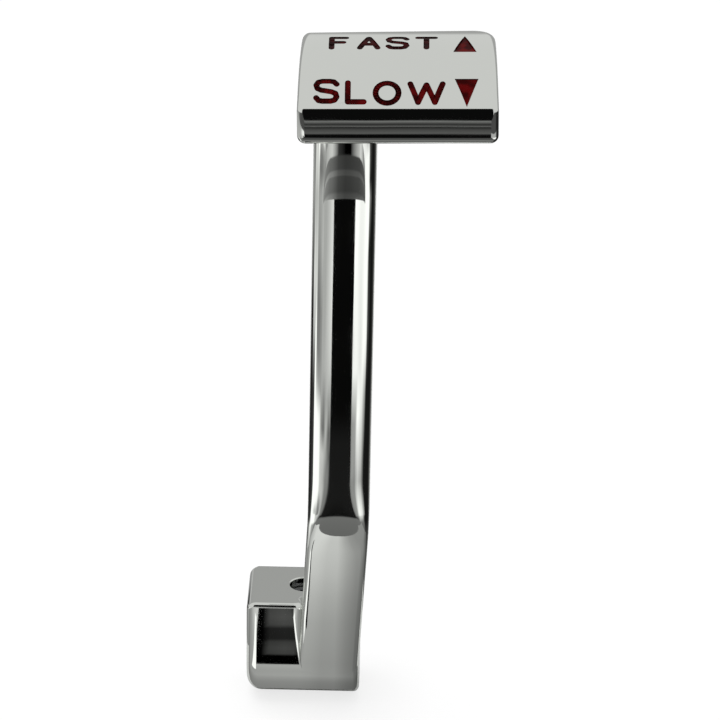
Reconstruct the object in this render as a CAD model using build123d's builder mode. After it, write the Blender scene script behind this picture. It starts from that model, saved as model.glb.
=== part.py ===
import os
from math import cos, radians, sin, sqrt, tan

from build123d import *

os.makedirs("parts", exist_ok=True)

# Control lever for a pedestal-mounted engine throttle, in millimetres.
# The origin is on the axis of the control shaft, half way along the hub.
# +X points outboard, -Y faces the helmsman and +Z runs up the lever.

# ---- driving dimensions -------------------------------------------------
shaft_dia = 12.7          # control shaft that the hub clamps on
bore_depth = 26.0         # blind bore, open on the inboard end
hub_length = 30.8         # along the shaft
hub_depth = 25.0          # front to back, and the diameter of the round bottom
hub_rise = 18.7           # shaft axis up to the hub's flat top
hub_top_round = 3.0       # along the top edge at the back
hub_front_round = 1.1     # along the top edge at the front
hub_inboard_round = 2.8
hub_outboard_round = 1.6

screw_dia = 7.9           # 5/16 in set screw over its thread
screw_play = 0.05         # radial play between the screw and its hole
screw_length = 9.5
screw_gap = 0.3           # cup point to shaft with the screw backed off
socket_flats = 3.97       # 5/32 in key
socket_depth = 4.5

lever_height = 167.9      # shaft axis up to the arm's end, inside the hand plate
arm_width = 16.4
arm_thick = 9.6
arm_low_round = 1.7       # front edge rounding where the arm leaves the hub
arm_round = 5.2           # front edge rounding from the knee up
arm_back_round = 2.8
lower_lean = 13.0         # degrees forward, from the hub to the knee
upper_lean = 2.5          # degrees back, from the knee to the neck
neck_lean = 14.0          # degrees forward, under the hand plate
knee_radius = 25.0        # on the arm's middle line, as all its lengths
neck_radius = 85.0
lower_run = 47.5          # straight, from the foot to the knee
neck_run = 4.0            # straight from the neck into the hand plate
side_lean = 2.9           # degrees outboard, below the knee
side_lean_top = 0.2       # degrees outboard, above the knee
flush_step = 0.3          # arm set in from the hub's outboard end at its foot
weld_run = 23.5           # foot to the weld that joins the arm to the hub's stub

plate_width = 51.0        # across, at the front edge
plate_inboard = 4.0       # overhang past the arm on the inboard side
plate_reach = 31.15       # front to back, at the outboard end
plate_skew = 2.2          # how much less it is at the inboard end
plate_front_gap = 9.65    # plate's front edge ahead of the arm's front
plate_radius = 32.0       # crown of the hand surface
plate_front_angle = 51.7  # slope of the hand surface at the front edge
plate_front_height = 9.85
plate_back_height = 11.0
plate_hollow = 1.5        # hollow of the underside between front and back
plate_corner = 6.0        # back corner, outboard, seen from above
plate_round = 2.1         # every other edge of the plate
plate_taper = 0.9         # each end of the plate, nearer the middle at the back
plate_tilt = 1.3          # degrees, outboard end up
seat_depth = 3.2          # arm let into the plate's underside

# ---- the arm's path: its middle line, as vectors -------------------------
hub_radius = hub_depth / 2
outboard_end = hub_length / 2


def heading(forward, outboard):
    """Unit vector up the arm for a forward and an outboard lean, in degrees."""
    rise = cos(radians(forward))
    return Vector(rise * tan(radians(outboard)), -sin(radians(forward)), rise).normalized()


def bend(start, before, after, radius):
    """Middle point and end of an arc that turns one heading into another."""
    turn = radians(before.get_angle(after))
    reach = radius * tan(turn / 2)
    corner = start + before * reach
    inward = (after - before).normalized()
    middle = corner + inward * (radius / cos(turn / 2) - radius)
    return middle, corner + after * reach


lower_way = heading(lower_lean, side_lean)
upper_way = heading(-upper_lean, side_lean_top)
neck_way = heading(neck_lean, side_lean_top)

# the foot lies square in from the front face, which is tangent to the round bottom
foot_radius = hub_radius - arm_thick / 2
foot = Vector(
    outboard_end - flush_step - arm_width / 2,
    -foot_radius * cos(radians(lower_lean)),
    -foot_radius * sin(radians(lower_lean)),
)
weld = foot + lower_way * weld_run
knee_start = foot + lower_way * lower_run
knee_middle, knee_end = bend(knee_start, lower_way, upper_way, knee_radius)
neck_rise = bend(Vector(0, 0, 0), upper_way, neck_way, neck_radius)[1].Z + neck_way.Z * neck_run
upper_run = (lever_height - knee_end.Z - neck_rise) / upper_way.Z
neck_start = knee_end + upper_way * upper_run
neck_middle, neck_end = bend(neck_start, upper_way, neck_way, neck_radius)
arm_end = neck_end + neck_way * neck_run


def square_to(point, way):
    """Plane across the arm, with its own x along the arm's width."""
    return Plane(origin=point, x_dir=(1, 0, 0), z_dir=way)


# ---- the hand plate's curves, in the plane across the shaft --------------
arm_front_y = arm_end.Y - arm_thick / 2 * cos(radians(neck_lean))
plate_front_y = arm_front_y - plate_front_gap
plate_back_y = plate_front_y + plate_reach
plate_middle_y = (plate_front_y + plate_back_y) / 2
crown_y = plate_front_y + plate_radius * sin(radians(plate_front_angle))
crown_rise_back = sqrt(plate_radius**2 - (plate_back_y - crown_y) ** 2)
crown_rise_front = plate_radius * cos(radians(plate_front_angle))

# circle through the underside's front, back and hollowed middle
chord_z = crown_rise_back - plate_back_height - (crown_rise_front - plate_front_height)
chord = sqrt(plate_reach**2 + chord_z**2)
under_radius = (chord**2 / 4 + plate_hollow**2) / (2 * plate_hollow)
under_y = plate_middle_y + (under_radius - plate_hollow) * chord_z / chord
under_drop = (under_radius - plate_hollow) * plate_reach / chord - chord_z / 2

# heights from the arm's end, which stands seat_depth above the underside there
under_at_arm = sqrt(under_radius**2 - (arm_end.Y - under_y) ** 2) - under_drop
plate_foot_z = -seat_depth - under_at_arm
crown_z = plate_foot_z + plate_front_height - crown_rise_front
plate_across = Plane(
    origin=(arm_end.X, 0, arm_end.Z),
    x_dir=(0, 1, 0),
    z_dir=(cos(radians(plate_tilt)), 0, sin(radians(plate_tilt))),
)
plate_below = Plane(origin=plate_across.origin, x_dir=plate_across.z_dir, z_dir=plate_across.y_dir)
plate_start = -arm_width / 2 - plate_inboard
plate_finish = plate_start + plate_width

# ---- the whole arm, foot to hand plate -----------------------------------
with BuildPart() as bar:
    # stub of one section, up to the weld
    with BuildSketch(square_to(foot, lower_way)) as outline:
        Rectangle(arm_width, arm_thick)
        fillet(outline.vertices().group_by(Axis.Y)[-1], radius=arm_back_round)
        fillet(outline.vertices().group_by(Axis.Y)[0], radius=arm_low_round)
    extrude(amount=weld_run)

    # from there the front edges round off more, up to the knee
    for point, rounding in ((weld, arm_low_round), (knee_start, arm_round)):
        with BuildSketch(square_to(point, lower_way)) as outline:
            Rectangle(arm_width, arm_thick)
            fillet(outline.vertices().group_by(Axis.Y)[-1], radius=arm_back_round)
            fillet(outline.vertices().group_by(Axis.Y)[0], radius=rounding)
    loft()

    # knee, upper run and neck at one section
    with BuildLine():
        knee = ThreePointArc(knee_start, knee_middle, knee_end)
        Line(knee_end, neck_start)
        neck = ThreePointArc(neck_start, neck_middle, neck_end)
        Line(neck_end, arm_end)
    with BuildSketch(square_to(knee_start, lower_way)) as outline:
        Rectangle(arm_width, arm_thick)
        fillet(outline.vertices().group_by(Axis.Y)[-1], radius=arm_back_round)
        fillet(outline.vertices().group_by(Axis.Y)[0], radius=arm_round)
    sweep()

weld_plane = square_to(weld, lower_way)

# ---- arm: above the weld -------------------------------------------------
with BuildPart() as arm:
    add(bar.part)
    split(bisect_by=weld_plane, keep=Keep.TOP)

arm.part.label = "arm"
export_step(arm.part, "parts/arm.step")

# ---- clamp hub, with the stub that the arm is welded to ------------------
with BuildPart() as clamp_hub:
    # block with a flat top and a round bottom about the shaft axis
    with BuildSketch(Plane.YZ.offset(-outboard_end)):
        Circle(hub_radius)
        with Locations((0, hub_rise / 2)):
            Rectangle(hub_depth, hub_rise)
    extrude(amount=hub_length)
    back_edge = clamp_hub.edges().filter_by(Axis.X).group_by(Axis.Z)[-1].sort_by(Axis.Y)[-1]
    fillet(back_edge, radius=hub_top_round)
    fillet(clamp_hub.faces().sort_by(Axis.X)[0].edges(), radius=hub_inboard_round)
    fillet(clamp_hub.faces().sort_by(Axis.X)[-1].edges(), radius=hub_outboard_round)

    # small rounding along the front of the flat top, with the mitres at both its ends
    front_edge = clamp_hub.edges().filter_by(Axis.X).group_by(Axis.Y)[0].sort_by(Axis.Z)[-1]
    meeting = [edge for end in front_edge.vertices() for edge in clamp_hub.edges() if end in edge.vertices()]
    mitres = [edge for edge in meeting if edge.geom_type not in (GeomType.LINE, GeomType.CIRCLE)]
    fillet([front_edge, *mitres], radius=hub_front_round)

    # stub of the arm
    with BuildPart(mode=Mode.ADD):
        add(bar.part)
        split(bisect_by=weld_plane, keep=Keep.BOTTOM)

    # blind bore for the control shaft, open inboard
    with BuildSketch(Plane.YZ.offset(-outboard_end)):
        Circle(shaft_dia / 2)
    extrude(amount=bore_depth, mode=Mode.SUBTRACT)

    # hole for the clamping screw, from the flat top into the bore
    with BuildSketch(Plane.XY.offset(hub_rise)):
        Circle(screw_dia / 2 + screw_play)
    extrude(amount=-hub_rise, mode=Mode.SUBTRACT)

clamp_hub.part.label = "clamp_hub"
export_step(clamp_hub.part, "parts/clamp_hub.step")

# ---- hand plate ---------------------------------------------------------
with BuildPart() as hand_plate:
    # body between the crowned hand surface and the hollowed underside
    with BuildSketch(plate_across.offset(plate_start)):
        with Locations((crown_y, crown_z)):
            Circle(plate_radius)
        with Locations((under_y, plate_foot_z - under_drop)):
            Circle(under_radius, mode=Mode.SUBTRACT)
        with Locations((plate_middle_y, crown_z + plate_radius / 2)):
            Rectangle(plate_reach, plate_radius * 1.4, mode=Mode.INTERSECT)
    extrude(amount=plate_width)

    # both ends taper towards the back
    with BuildSketch(plate_below.offset(-plate_width)):
        with BuildLine():
            Polyline(
                (plate_start, plate_front_y),
                (plate_finish, plate_front_y),
                (plate_finish - plate_taper, plate_back_y),
                (plate_start + plate_taper, plate_back_y - plate_skew),
                close=True,
            )
        make_face()
    extrude(amount=2 * plate_width, mode=Mode.INTERSECT)

    # large corner at the back, outboard, then one rounding for every other edge
    upward = Axis((0, 0, 0), plate_across.y_dir)
    uprights = hand_plate.edges().filter_by(upward)
    fillet(uprights.group_by(Axis.Y)[-1].sort_by(Axis.X)[-1], radius=plate_corner)
    corner = hand_plate.faces().filter_by(GeomType.CYLINDER).sort_by(SortBy.AREA)[0]
    corner_sides = corner.edges().filter_by(upward)
    fillet(hand_plate.edges() - corner_sides, radius=plate_round)

    # pocket that the arm's end is let into and brazed
    add(arm.part, mode=Mode.SUBTRACT)

hand_plate.part.label = "hand_plate"
export_step(hand_plate.part, "parts/hand_plate.step")

# ---- clamping screw -----------------------------------------------------
screw_foot_z = shaft_dia / 2 + screw_gap
with BuildPart() as clamp_screw:
    with BuildSketch(Plane.XY.offset(screw_foot_z)):
        Circle(screw_dia / 2)
    extrude(amount=screw_length)
    chamfer(clamp_screw.edges().group_by(Axis.Z)[-1], length=0.5)
    chamfer(clamp_screw.edges().group_by(Axis.Z)[0], length=0.9)
    # cup point
    with BuildSketch(Plane.XZ) as cup:
        with BuildLine():
            Polyline(
                (0, screw_foot_z),
                (screw_dia * 0.27, screw_foot_z),
                (0, screw_foot_z + screw_dia * 0.16),
                (0, screw_foot_z),
            )
        make_face()
    revolve(axis=Axis.Z, mode=Mode.SUBTRACT)
    # hex socket
    with BuildSketch(Plane.XY.offset(screw_foot_z + screw_length)):
        RegularPolygon(radius=socket_flats / 2, side_count=6, major_radius=False)
    extrude(amount=-socket_depth, mode=Mode.SUBTRACT)

clamp_screw.part.label = "clamp_screw"
export_step(clamp_screw.part, "parts/clamp_screw.step")

for piece in (clamp_hub, arm, hand_plate, clamp_screw):
    box = piece.part.bounding_box()
    print(piece.part.label, len(piece.part.solids()), piece.part.is_valid, box.min, box.max)
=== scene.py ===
import math

import bmesh
import bpy
from mathutils import Matrix, Vector
from mathutils.bvhtree import BVHTree
from mathutils.interpolate import poly_3d_calc


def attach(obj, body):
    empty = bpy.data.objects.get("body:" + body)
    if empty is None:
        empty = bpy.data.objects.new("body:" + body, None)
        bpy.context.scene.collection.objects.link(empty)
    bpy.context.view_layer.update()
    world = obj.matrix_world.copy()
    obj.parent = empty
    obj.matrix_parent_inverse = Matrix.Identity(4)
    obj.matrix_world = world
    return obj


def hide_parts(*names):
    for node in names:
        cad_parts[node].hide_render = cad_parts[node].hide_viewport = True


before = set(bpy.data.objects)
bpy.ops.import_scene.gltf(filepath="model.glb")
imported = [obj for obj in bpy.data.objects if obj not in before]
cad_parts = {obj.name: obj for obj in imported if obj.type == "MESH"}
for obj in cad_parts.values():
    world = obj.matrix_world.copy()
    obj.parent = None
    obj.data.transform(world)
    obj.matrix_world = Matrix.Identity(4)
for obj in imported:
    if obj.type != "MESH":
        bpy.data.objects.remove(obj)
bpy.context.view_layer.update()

bl_info = {
    "name": "Throttle Lever Finish",
    "version": (1, 0, 0),
    "blender": (4, 5, 0),
    "location": "3D Viewport > Sidebar > Throttle Lever",
    "description": "Dresses the throttle lever: engraved hand plate, enamelled marks, polished steel and studio",
    "category": "Object",
}

MM = 0.001

# ---- the lever's own lines, in millimetres and degrees, as the solids have them ----
HUB_RADIUS, HUB_HALF, HUB_RISE = 12.5, 15.4, 18.7
HUB_BACK_ROUND, HUB_FRONT_ROUND, HUB_INBOARD_ROUND, HUB_OUTBOARD_ROUND = 3.0, 1.1, 2.8, 1.6
HUB_FOOT_EXTRA = 1.6                              # the inboard end is rounded this much more low down
BORE_RADIUS, BORE_DEPTH, SCREW_HOLE = 6.35, 26.0, 4.0
SCREW_RADIUS, SCREW_FOOT, SCREW_TOP, SCREW_CUP = 3.95, 6.65, 16.15, (2.13, 1.26)
SCREW_FOOT_CHAMFER, SCREW_TOP_CHAMFER = 0.9, 0.5
SOCKET_FLATS, SOCKET_DEPTH, SOCKET_MOUTH = 3.97, 4.5, 2.45
SOCKET_BEVEL, DRILL_RADIUS, DRILL_CONE = 0.3, 1.85, 0.6
RINGS_PER_PITCH = 14
ARM_WIDTH, ARM_THICK = 16.4, 9.6
ARM_LOW_ROUND, ARM_ROUND, ARM_BACK_ROUND = 1.7, 5.2, 2.8
FRONT_CROWN_LOW, FRONT_CROWN = 300.0, 26.0        # soft crown across the arm's front, at its foot and above the knee
LOWER_LEAN, UPPER_LEAN, NECK_LEAN = 13.0, 2.5, 14.0
SIDE_LEAN, SIDE_LEAN_TOP = 2.9, 0.2
KNEE_RADIUS, NECK_RADIUS, KNEE_EASE = 25.0, 85.0, (42.0, 64.0)
WELD_RUN, LOWER_RUN, NECK_RUN = 23.5, 47.5, 4.0
LEVER_HEIGHT = 167.9
ARM_STEP_IN = 0.3                                 # the arm's outboard side lies this far in from the hub's end
WELD_RADIUS, WELD_STEP, WELD_LEAST = 2.4, 0.35, 0.25
WELD_FADE, WELD_SHRINK, WELD_STOP = 3.5, 0.22, 0.4  # outboard: where it starts to shrink, by how much a step, its end
WELD_TAIL = 4.5                                   # in front it thins out towards this far under the axis
PLATE_WIDTH, PLATE_REACH, PLATE_FRONT_GAP = 51.0, 31.15, 9.65
PLATE_RADIUS, PLATE_FRONT_ANGLE = 32.0, 51.7
PLATE_FRONT_HEIGHT, PLATE_BACK_HEIGHT, PLATE_HOLLOW = 9.85, 11.0, 1.5
PLATE_LEAN_TOP, PLATE_LEAN_FOOT = 7.6, 1.2        # the front face leans back a little more at its top
PLATE_CORNER, PLATE_ROUND, PLATE_TAPER, PLATE_SKEW = 6.0, 2.1, 0.9, 2.2
PLATE_TILT, SEAT_DEPTH, PLATE_START = 1.3, 3.2, -12.2


def heading(forward, outboard):
    """Unit vector up the arm for a forward and an outboard lean."""
    rise = math.cos(math.radians(forward))
    return Vector((rise * math.tan(math.radians(outboard)), -math.sin(math.radians(forward)), rise)).normalized()


LOWER_WAY, UPPER_WAY = heading(LOWER_LEAN, SIDE_LEAN), heading(-UPPER_LEAN, SIDE_LEAN_TOP)
NECK_WAY = heading(NECK_LEAN, SIDE_LEAN_TOP)
FOOT = Vector((HUB_HALF - ARM_STEP_IN - ARM_WIDTH / 2,
               -(HUB_RADIUS - ARM_THICK / 2) * math.cos(math.radians(LOWER_LEAN)),
               -(HUB_RADIUS - ARM_THICK / 2) * math.sin(math.radians(LOWER_LEAN))))


def bend(start, before, after, radius, steps):
    """Points and headings along an arc that turns one heading into another."""
    turn = before.angle(after)
    side = (after - before * math.cos(turn)).normalized()
    out = []
    for k in range(1, steps + 1):
        a = turn * k / steps
        out.append((start + before * (radius * math.sin(a)) + side * (radius * (1 - math.cos(a))),
                    before * math.cos(a) + side * math.sin(a)))
    return out


def eased_round(run):
    """Rounding of the arm's front edges, this far up the arm: small at the foot, full past the knee."""
    t = min(1.0, max(0.0, (run - KNEE_EASE[0]) / (KNEE_EASE[1] - KNEE_EASE[0])))
    return ARM_LOW_ROUND + (ARM_ROUND - ARM_LOW_ROUND) * t * t * (3 - 2 * t)


def arm_stations():
    """(point, heading, front rounding) from the foot to the arm's end."""
    out = []
    for k in range(25):
        run = WELD_RUN * (k / 4) if k < 4 else WELD_RUN + (LOWER_RUN - WELD_RUN) * (k - 4) / 20
        out.append((FOOT + LOWER_WAY * run, LOWER_WAY, eased_round(run)))
    for k, (p, w) in enumerate(bend(out[-1][0], LOWER_WAY, UPPER_WAY, KNEE_RADIUS, 28), 1):
        out.append((p, w, eased_round(LOWER_RUN + KNEE_RADIUS * math.radians(LOWER_LEAN + UPPER_LEAN) * k / 28)))
    knee_end = out[-1][0]
    neck = bend(Vector((0, 0, 0)), UPPER_WAY, NECK_WAY, NECK_RADIUS, 28)
    rise = neck[-1][0].z + NECK_WAY.z * NECK_RUN
    run = (LEVER_HEIGHT - knee_end.z - rise) / UPPER_WAY.z
    knee_run = LOWER_RUN + KNEE_RADIUS * math.radians(LOWER_LEAN + UPPER_LEAN)
    steps = [k * 0.75 for k in range(1, 17)] + [run * k / 6 for k in range(2, 7)]
    out += [(knee_end + UPPER_WAY * step, UPPER_WAY, eased_round(knee_run + step)) for step in steps]
    start = out[-1][0]
    out += [(start + p, w, ARM_ROUND) for p, w in neck]
    out.append((out[-1][0] + NECK_WAY * NECK_RUN, NECK_WAY, ARM_ROUND))
    return out


ARM_STATIONS = arm_stations()
ARM_END = ARM_STATIONS[-1][0]

# hand plate, in its own directions: across the shaft, towards the back, and up
ACROSS = Vector((math.cos(math.radians(PLATE_TILT)), 0.0, math.sin(math.radians(PLATE_TILT))))
ABOVE = Vector((-ACROSS.z, 0.0, ACROSS.x))
PLATE_FRONT = ARM_END.y - ARM_THICK / 2 * math.cos(math.radians(NECK_LEAN)) - PLATE_FRONT_GAP
PLATE_BACK = PLATE_FRONT + PLATE_REACH
CROWN_Y = PLATE_FRONT + PLATE_RADIUS * math.sin(math.radians(PLATE_FRONT_ANGLE))
RISE_BACK = math.sqrt(PLATE_RADIUS ** 2 - (PLATE_BACK - CROWN_Y) ** 2)
RISE_FRONT = PLATE_RADIUS * math.cos(math.radians(PLATE_FRONT_ANGLE))
CHORD_Z = RISE_BACK - PLATE_BACK_HEIGHT - (RISE_FRONT - PLATE_FRONT_HEIGHT)
CHORD = math.hypot(PLATE_REACH, CHORD_Z)
UNDER_RADIUS = (CHORD ** 2 / 4 + PLATE_HOLLOW ** 2) / (2 * PLATE_HOLLOW)
UNDER_Y = (PLATE_FRONT + PLATE_BACK) / 2 + (UNDER_RADIUS - PLATE_HOLLOW) * CHORD_Z / CHORD
UNDER_DROP = (UNDER_RADIUS - PLATE_HOLLOW) * PLATE_REACH / CHORD - CHORD_Z / 2
PLATE_FOOT = -SEAT_DEPTH - (math.sqrt(UNDER_RADIUS ** 2 - (ARM_END.y - UNDER_Y) ** 2) - UNDER_DROP)
CROWN_Z = PLATE_FOOT + PLATE_FRONT_HEIGHT - RISE_FRONT
UNDER_Z = PLATE_FOOT - UNDER_DROP


def on_plate(across, back, up):
    """A point of the plate: across from the arm's end, back from the shaft's plane and up from the arm's end."""
    return Vector((ARM_END.x, back, ARM_END.z)) + ACROSS * across + ABOVE * up


# Strokes of each mark on a box one wide and one high, drawn from the baseline up.
STROKES = {
    "F": [[(0, 0), (0, 1), (1, 1)], [(0, 0.52), (0.82, 0.52)]],
    "A": [[(0, 0), (0.5, 1), (1, 0)], [(0.2, 0.33), (0.8, 0.33)]],
    "S": [[(1, 0.84), (0.86, 0.97), (0.68, 1), (0.3, 1), (0.1, 0.95), (0, 0.8), (0.06, 0.62), (0.24, 0.54),
           (0.74, 0.46), (0.94, 0.38), (1, 0.2), (0.9, 0.05), (0.7, 0), (0.3, 0), (0.12, 0.03), (0, 0.16)]],
    "T": [[(0, 1), (1, 1)], [(0.5, 1), (0.5, 0)]],
    "L": [[(0, 1), (0, 0), (1, 0)]],
    "O": [[(0.5 + 0.5 * math.cos(math.radians(a)), 0.5 + 0.5 * math.sin(math.radians(a)))
           for a in range(0, 361, 15)]],
    "W": [[(0, 1), (0.24, 0), (0.5, 0.94), (0.76, 0), (1, 1)]],
}


def new_mesh(name, verts, faces, scale=MM):
    """A mesh from points in millimetres, unless another scale is given."""
    mesh = bpy.data.meshes.new(name)
    mesh.from_pydata([tuple(c * scale for c in v) for v in verts], [], faces)
    mesh.update()
    return mesh


def put(name, mesh):
    """A new object of the scene, at the origin, with the given mesh."""
    piece = bpy.data.objects.new(name, mesh)
    bpy.context.scene.collection.objects.link(piece)
    return piece


def baked(piece):
    """Replaces a piece's mesh by the result of its modifiers."""
    bpy.context.view_layer.update()
    graph = bpy.context.evaluated_depsgraph_get()
    mesh = bpy.data.meshes.new_from_object(piece.evaluated_get(graph))
    piece.modifiers.clear()
    piece.data = mesh
    return piece


def cut(piece, tool, overlapping=False):
    """Takes the tool out of the piece."""
    step = piece.modifiers.new("cut", "BOOLEAN")
    step.operation, step.solver, step.object = "DIFFERENCE", "EXACT", tool
    step.use_self = overlapping
    return baked(piece)


class Skin:
    """Points, faces and the true direction that the metal faces at each point, in millimetres."""

    def __init__(self):
        self.points, self.facing, self.faces = [], [], []

    def rows(self, rows, closed_round=False, closed_along=False):
        """Joins rows of (point, facing) by four-sided faces."""
        first = len(self.points)
        wide = len(rows[0])
        for row in rows:
            for point, facing in row:
                self.points.append(Vector(point))
                self.facing.append(Vector(facing))
        for j in range(len(rows) - (0 if closed_along else 1)):
            for i in range(wide - (0 if closed_round else 1)):
                k, m = (i + 1) % wide, (j + 1) % len(rows)
                self.faces.append(tuple(first + n for n in (j * wide + i, j * wide + k, m * wide + k, m * wide + i)))
        return self

    def patch(self, loop, facing):
        """One flat face."""
        first = len(self.points)
        self.points += [Vector(p) for p in loop]
        self.facing += [Vector(facing)] * len(loop)
        self.faces.append(tuple(range(first, first + len(loop))))
        return self

    def mesh(self, name):
        """Mesh with its doubles merged and every face turned the way its points face."""
        mesh = new_mesh(name, self.points, self.faces)
        work = bmesh.new()
        work.from_mesh(mesh)
        work.faces.ensure_lookup_table()
        turned = []
        for face, corners in zip(work.faces, self.faces):
            mean = sum((self.facing[i] for i in corners), Vector())
            if face.normal.dot(mean) < 0:
                turned.append(face)
        bmesh.ops.reverse_faces(work, faces=turned)
        bmesh.ops.remove_doubles(work, verts=work.verts, dist=2e-6)
        work.to_mesh(mesh)
        work.free()
        return mesh


def face_truly(piece, skins):
    """Gives every corner of the piece the facing of the skin that it lies on, so that curves reflect as curves."""
    trees = []
    for skin in skins:
        triangles = [(f[0], f[k], f[k + 1]) for f in skin.faces for k in range(1, len(f) - 1)]
        triangles = [(i, j, k) for i, j, k in triangles if
                     (skin.points[j] - skin.points[i]).cross(skin.points[k] - skin.points[i]).length > 1e-9]
        trees.append((skin, triangles, BVHTree.FromPolygons([p[:] for p in skin.points], triangles)))
    mesh = piece.data
    mesh.update()
    found = []
    for face in mesh.polygons:
        face.use_smooth = True
        for corner in face.loop_indices:
            at = mesh.vertices[mesh.loops[corner].vertex_index].co / MM
            # a little way into the face, so that a corner on an edge looks up its own side
            inside = at.lerp(face.center / MM, 0.02)
            best, facing = 0.5, face.normal
            for skin, triangles, tree in trees:
                spot, _, index, gap = tree.find_nearest(inside)
                if spot is None or gap > 0.08:
                    continue
                t = triangles[index]
                near = tree.find_nearest(at)
                spot = near[0] if near[2] == index else spot
                a, b, c = (skin.points[i] for i in t)
                try:
                    weights = poly_3d_calc([a, b, c], spot)
                except ValueError:
                    continue
                true = sum((skin.facing[i] * w for i, w in zip(t, weights)), Vector())
                if true.length < 1e-6:
                    continue
                true.normalize()
                match = true.dot(face.normal) - gap
                if match > best:
                    best, facing = match, true
            found.append(tuple(facing))
    mesh.normals_split_custom_set(found)
    return piece


def swung(first, last, steps):
    """Directions that swing evenly from the first to the last."""
    turn = first.angle(last)
    return [(first * math.sin(turn - t) + last * math.sin(t)) / math.sin(turn)
            for t in (turn * k / steps for k in range(steps + 1))]


def arc_points(radius, start, stop, steps):
    """(offset, direction) along an arc, in a flat frame."""
    out = []
    for k in range(steps + 1):
        a = math.radians(start + (stop - start) * k / steps)
        out.append(((radius * math.cos(a), radius * math.sin(a)), (math.cos(a), math.sin(a))))
    return out


# ---- node groups and materials ----

LINE_DEPTH, WAVE_DEPTH, ENAMEL_RELIEF = 2e-7, 2e-5, 1e-4  # relief of the polish and of the enamel, in metres
POLISH_HAZE = 0.05


def group(name, inputs, outputs):
    """A shader node group with named inputs and outputs, and its two end nodes."""
    tree = bpy.data.node_groups.new(name, "ShaderNodeTree")
    for label, kind, value in inputs:
        socket = tree.interface.new_socket(label, in_out="INPUT", socket_type=kind)
        if value is not None:
            socket.default_value = value
    for label, kind in outputs:
        tree.interface.new_socket(label, in_out="OUTPUT", socket_type=kind)
    return tree, tree.nodes.new("NodeGroupInput"), tree.nodes.new("NodeGroupOutput")


def once(name, build):
    """A node group by its name, built the first time that it is asked for."""
    return bpy.data.node_groups.get(name) or build()


def new_material(name):
    """A material with its nodes and the function that links them."""
    mat = bpy.data.materials.new(name)
    mat.use_nodes = True
    return mat, mat.node_tree.nodes, mat.node_tree.links.new


def bump(nodes, link, height, depth, under=None):
    """Relief of a given depth from a height, laid over other relief where there is some."""
    relief = nodes.new("ShaderNodeBump")
    relief.inputs["Strength"].default_value = 1.0
    relief.inputs["Distance"].default_value = depth
    link(height, relief.inputs["Height"])
    if under is not None:
        link(under, relief.inputs["Normal"])
    return relief.outputs["Normal"]


def polish_group():
    """Fine lines left by the buffing wheel, slow waviness and a light haze, as a height and a roughness."""
    flt, vec = "NodeSocketFloat", "NodeSocketVector"
    tree, given, out = group(
        "polish_marks",
        [("Position", vec, None), ("Line Density", flt, 900.0), ("Wave Size", flt, 90.0),
         ("Shine", flt, 0.05), ("Haze", flt, 0.05)],
        [("Height", flt), ("Wave", flt), ("Roughness", flt)])
    n, link = tree.nodes, tree.links.new
    stretch = n.new("ShaderNodeVectorMath"); stretch.operation = "MULTIPLY"
    stretch.inputs[1].default_value = (1.0, 1.0, 0.05)
    link(given.outputs["Position"], stretch.inputs[0])
    lines = n.new("ShaderNodeTexNoise"); lines.inputs["Detail"].default_value = 3.0
    link(stretch.outputs[0], lines.inputs["Vector"])
    link(given.outputs["Line Density"], lines.inputs["Scale"])
    wave = n.new("ShaderNodeTexNoise"); wave.inputs["Detail"].default_value = 1.0
    link(given.outputs["Position"], wave.inputs["Vector"])
    link(given.outputs["Wave Size"], wave.inputs["Scale"])
    haze = n.new("ShaderNodeTexNoise"); haze.inputs["Detail"].default_value = 4.0
    haze.inputs["Scale"].default_value = 55.0
    link(given.outputs["Position"], haze.inputs["Vector"])
    soft = n.new("ShaderNodeMapRange")
    soft.inputs["From Min"].default_value = 0.45
    soft.inputs["From Max"].default_value = 0.75
    link(haze.outputs["Fac"], soft.inputs["Value"])
    blur = n.new("ShaderNodeMath"); blur.operation = "MULTIPLY_ADD"
    link(soft.outputs["Result"], blur.inputs[0])
    link(given.outputs["Haze"], blur.inputs[1])
    link(given.outputs["Shine"], blur.inputs[2])
    link(lines.outputs["Fac"], out.inputs["Height"])
    link(wave.outputs["Fac"], out.inputs["Wave"])
    link(blur.outputs[0], out.inputs["Roughness"])
    return tree


def steel(name, colour, shine, haze, line_depth, wave_depth):
    """Metal with a buffed surface."""
    mat, n, link = new_material(name)
    bsdf = n["Principled BSDF"]
    bsdf.inputs["Base Color"].default_value = (*colour, 1.0)
    bsdf.inputs["Metallic"].default_value = 1.0
    where = n.new("ShaderNodeTexCoord")
    marks = n.new("ShaderNodeGroup"); marks.node_tree = once("polish_marks", polish_group)
    marks.inputs["Line Density"].default_value = 1600.0
    marks.inputs["Wave Size"].default_value = 60.0
    marks.inputs["Shine"].default_value = shine
    marks.inputs["Haze"].default_value = haze
    link(where.outputs["Object"], marks.inputs["Position"])
    link(marks.outputs["Roughness"], bsdf.inputs["Roughness"])
    waves = bump(n, link, marks.outputs["Wave"], wave_depth)
    link(bump(n, link, marks.outputs["Height"], line_depth, waves), bsdf.inputs["Normal"])
    return mat


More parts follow.
